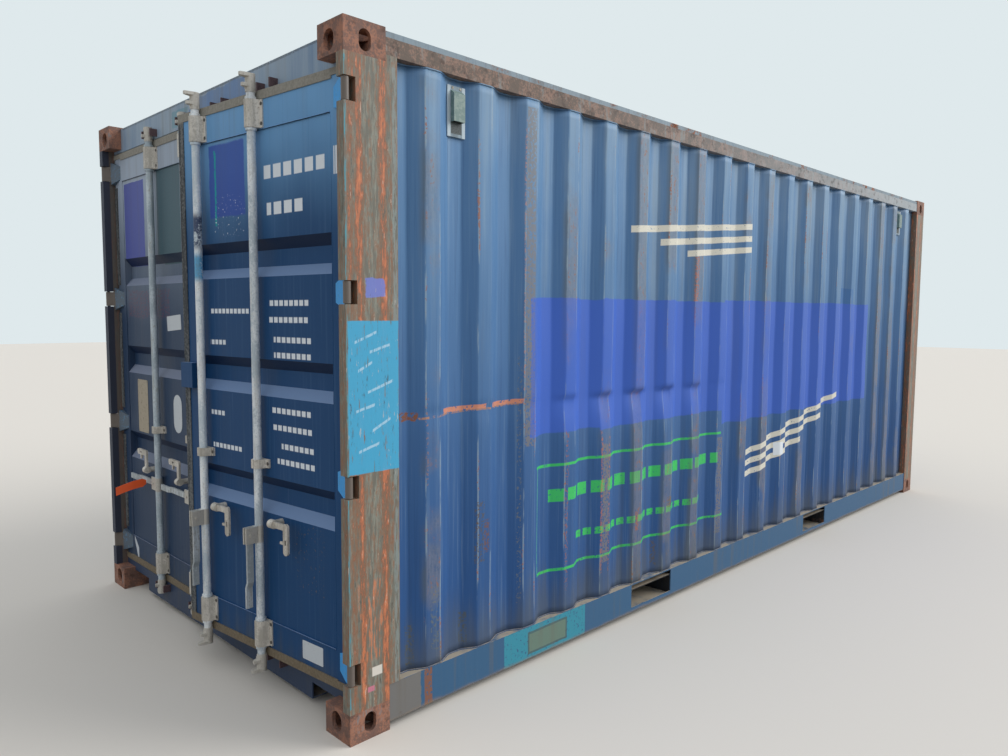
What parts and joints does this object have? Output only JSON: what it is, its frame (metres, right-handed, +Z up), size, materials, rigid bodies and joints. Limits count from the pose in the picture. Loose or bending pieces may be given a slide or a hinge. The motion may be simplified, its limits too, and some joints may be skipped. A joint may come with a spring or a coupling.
{
  "type": "shipping container",
  "caption": "Steel freight box with corrugated walls, corner castings, forklift pockets and hinged double end doors with lock rods, the right one ajar.",
  "frame": {"origin": "middle of the footprint, at the undersides of the bottom corner castings", "axes": "+X along the container from the door end to the blind end, +Z up, +Y towards the left side seen facing the doors"},
  "size_m": [6.1906, 2.438, 2.591],
  "materials": {
    "wall_paint": "matt, weathered",
    "frame_paint": "matt, weathered",
    "post_paint": "matt, rust streaked",
    "door_paint": "satin, weathered",
    "hinge_paint": "satin",
    "casting_steel": "rusty",
    "galvanised_steel": "dull zinc",
    "gasket_rubber": "dusty",
    "vent_cover": "matt",
    "underside_coating": "matt",
    "floor_board": "worn"
  },
  "bodies": {
    "container": {"rear_top_casting_right": "casting_steel", "rear_top_casting_left": "casting_steel", "rear_bottom_casting_right": "casting_steel", "rear_bottom_casting_left": "casting_steel", "front_top_casting_right": "casting_steel", "front_top_casting_left": "casting_steel", "front_bottom_casting_right": "casting_steel", "front_bottom_casting_left": "casting_steel", "rear_post_right": "post_paint", "rear_post_left": "post_paint", "front_post_right": "frame_paint", "front_post_left": "frame_paint", "rear_header": "frame_paint", "rear_sill": "frame_paint", "front_header": "frame_paint", "front_sill": "frame_paint", "right_top_rail": "frame_paint", "left_top_rail": "frame_paint", "right_bottom_rail": "frame_paint", "left_bottom_rail": "frame_paint", "right_side_wall": "wall_paint", "left_side_wall": "wall_paint", "front_end_wall": "wall_paint", "roof_panel": "wall_paint", "floor_deck": "floor_board", "cross_members": "underside_coating", "fork_pockets": "underside_coating", "pocket_straps": "frame_paint", "ventilators": "vent_cover", "cam_keepers": "casting_steel"},
    "right_door": {"right_door_frame": "door_paint", "right_door_panel": "door_paint", "right_door_gasket": "gasket_rubber", "right_door_hinges": "hinge_paint", "right_rod_brackets": "galvanised_steel", "right_handle_catches": "galvanised_steel"},
    "left_door": {"left_door_frame": "door_paint", "left_door_panel": "door_paint", "left_door_gasket": "gasket_rubber", "left_door_hinges": "hinge_paint", "left_rod_brackets": "galvanised_steel", "left_handle_catches": "galvanised_steel"},
    "right_outer_rod": {"right_outer_rod": "galvanised_steel"},
    "right_outer_handle": {"right_outer_handle": "galvanised_steel"},
    "right_inner_rod": {"right_inner_rod": "galvanised_steel"},
    "right_inner_handle": {"right_inner_handle": "galvanised_steel"},
    "left_outer_rod": {"left_outer_rod": "galvanised_steel"},
    "left_outer_handle": {"left_outer_handle": "galvanised_steel"},
    "left_inner_rod": {"left_inner_rod": "galvanised_steel"},
    "left_inner_handle": {"left_inner_handle": "galvanised_steel"}
  },
  "joints": [
    {"name": "right_door_hinge", "type": "hinge", "parent": "container", "child": "right_door", "pos_m": [-3.012, -1.202, 0.262], "axis": [0, 0, 1], "range_deg": [-5.6, 256.4]},
    {"name": "left_door_hinge", "type": "hinge", "parent": "container", "child": "left_door", "pos_m": [-3.012, 1.202, 0.262], "axis": [0, 0, -1], "range_deg": [0, 262]},
    {"name": "right_outer_rod_turn", "type": "hinge", "parent": "right_door", "child": "right_outer_rod", "pos_m": [-3.05164, -0.60301, 0.676], "axis": [0, 0, -1], "range_deg": [-90, 0]},
    {"name": "right_outer_handle_lift", "type": "hinge", "parent": "right_outer_rod", "child": "right_outer_handle", "pos_m": [-3.09742, -0.6075, 0.676], "axis": [0.0976, -0.9952, 0], "range_deg": [-90, 0]},
    {"name": "right_inner_rod_turn", "type": "hinge", "parent": "right_door", "child": "right_inner_rod", "pos_m": [-3.09272, -0.18402, 0.676], "axis": [0, 0, -1], "range_deg": [-90, 0]},
    {"name": "right_inner_handle_lift", "type": "hinge", "parent": "right_inner_rod", "child": "right_inner_handle", "pos_m": [-3.1385, -0.18851, 0.676], "axis": [0.0976, -0.9952, 0], "range_deg": [-90, 0]},
    {"name": "left_outer_rod_turn", "type": "hinge", "parent": "left_door", "child": "left_outer_rod", "pos_m": [-2.993, 0.602, 0.676], "axis": [0, 0, 1], "range_deg": [0, 90]},
    {"name": "left_outer_handle_lift", "type": "hinge", "parent": "left_outer_rod", "child": "left_outer_handle", "pos_m": [-2.993, 0.648, 0.676], "axis": [-1, 0, 0], "range_deg": [0, 90]},
    {"name": "left_inner_rod_turn", "type": "hinge", "parent": "left_door", "child": "left_inner_rod", "pos_m": [-2.993, 0.181, 0.676], "axis": [0, 0, 1], "range_deg": [0, 90]},
    {"name": "left_inner_handle_lift", "type": "hinge", "parent": "left_inner_rod", "child": "left_inner_handle", "pos_m": [-2.993, 0.227, 0.676], "axis": [-1, 0, 0], "range_deg": [0, 90]}
  ]
}
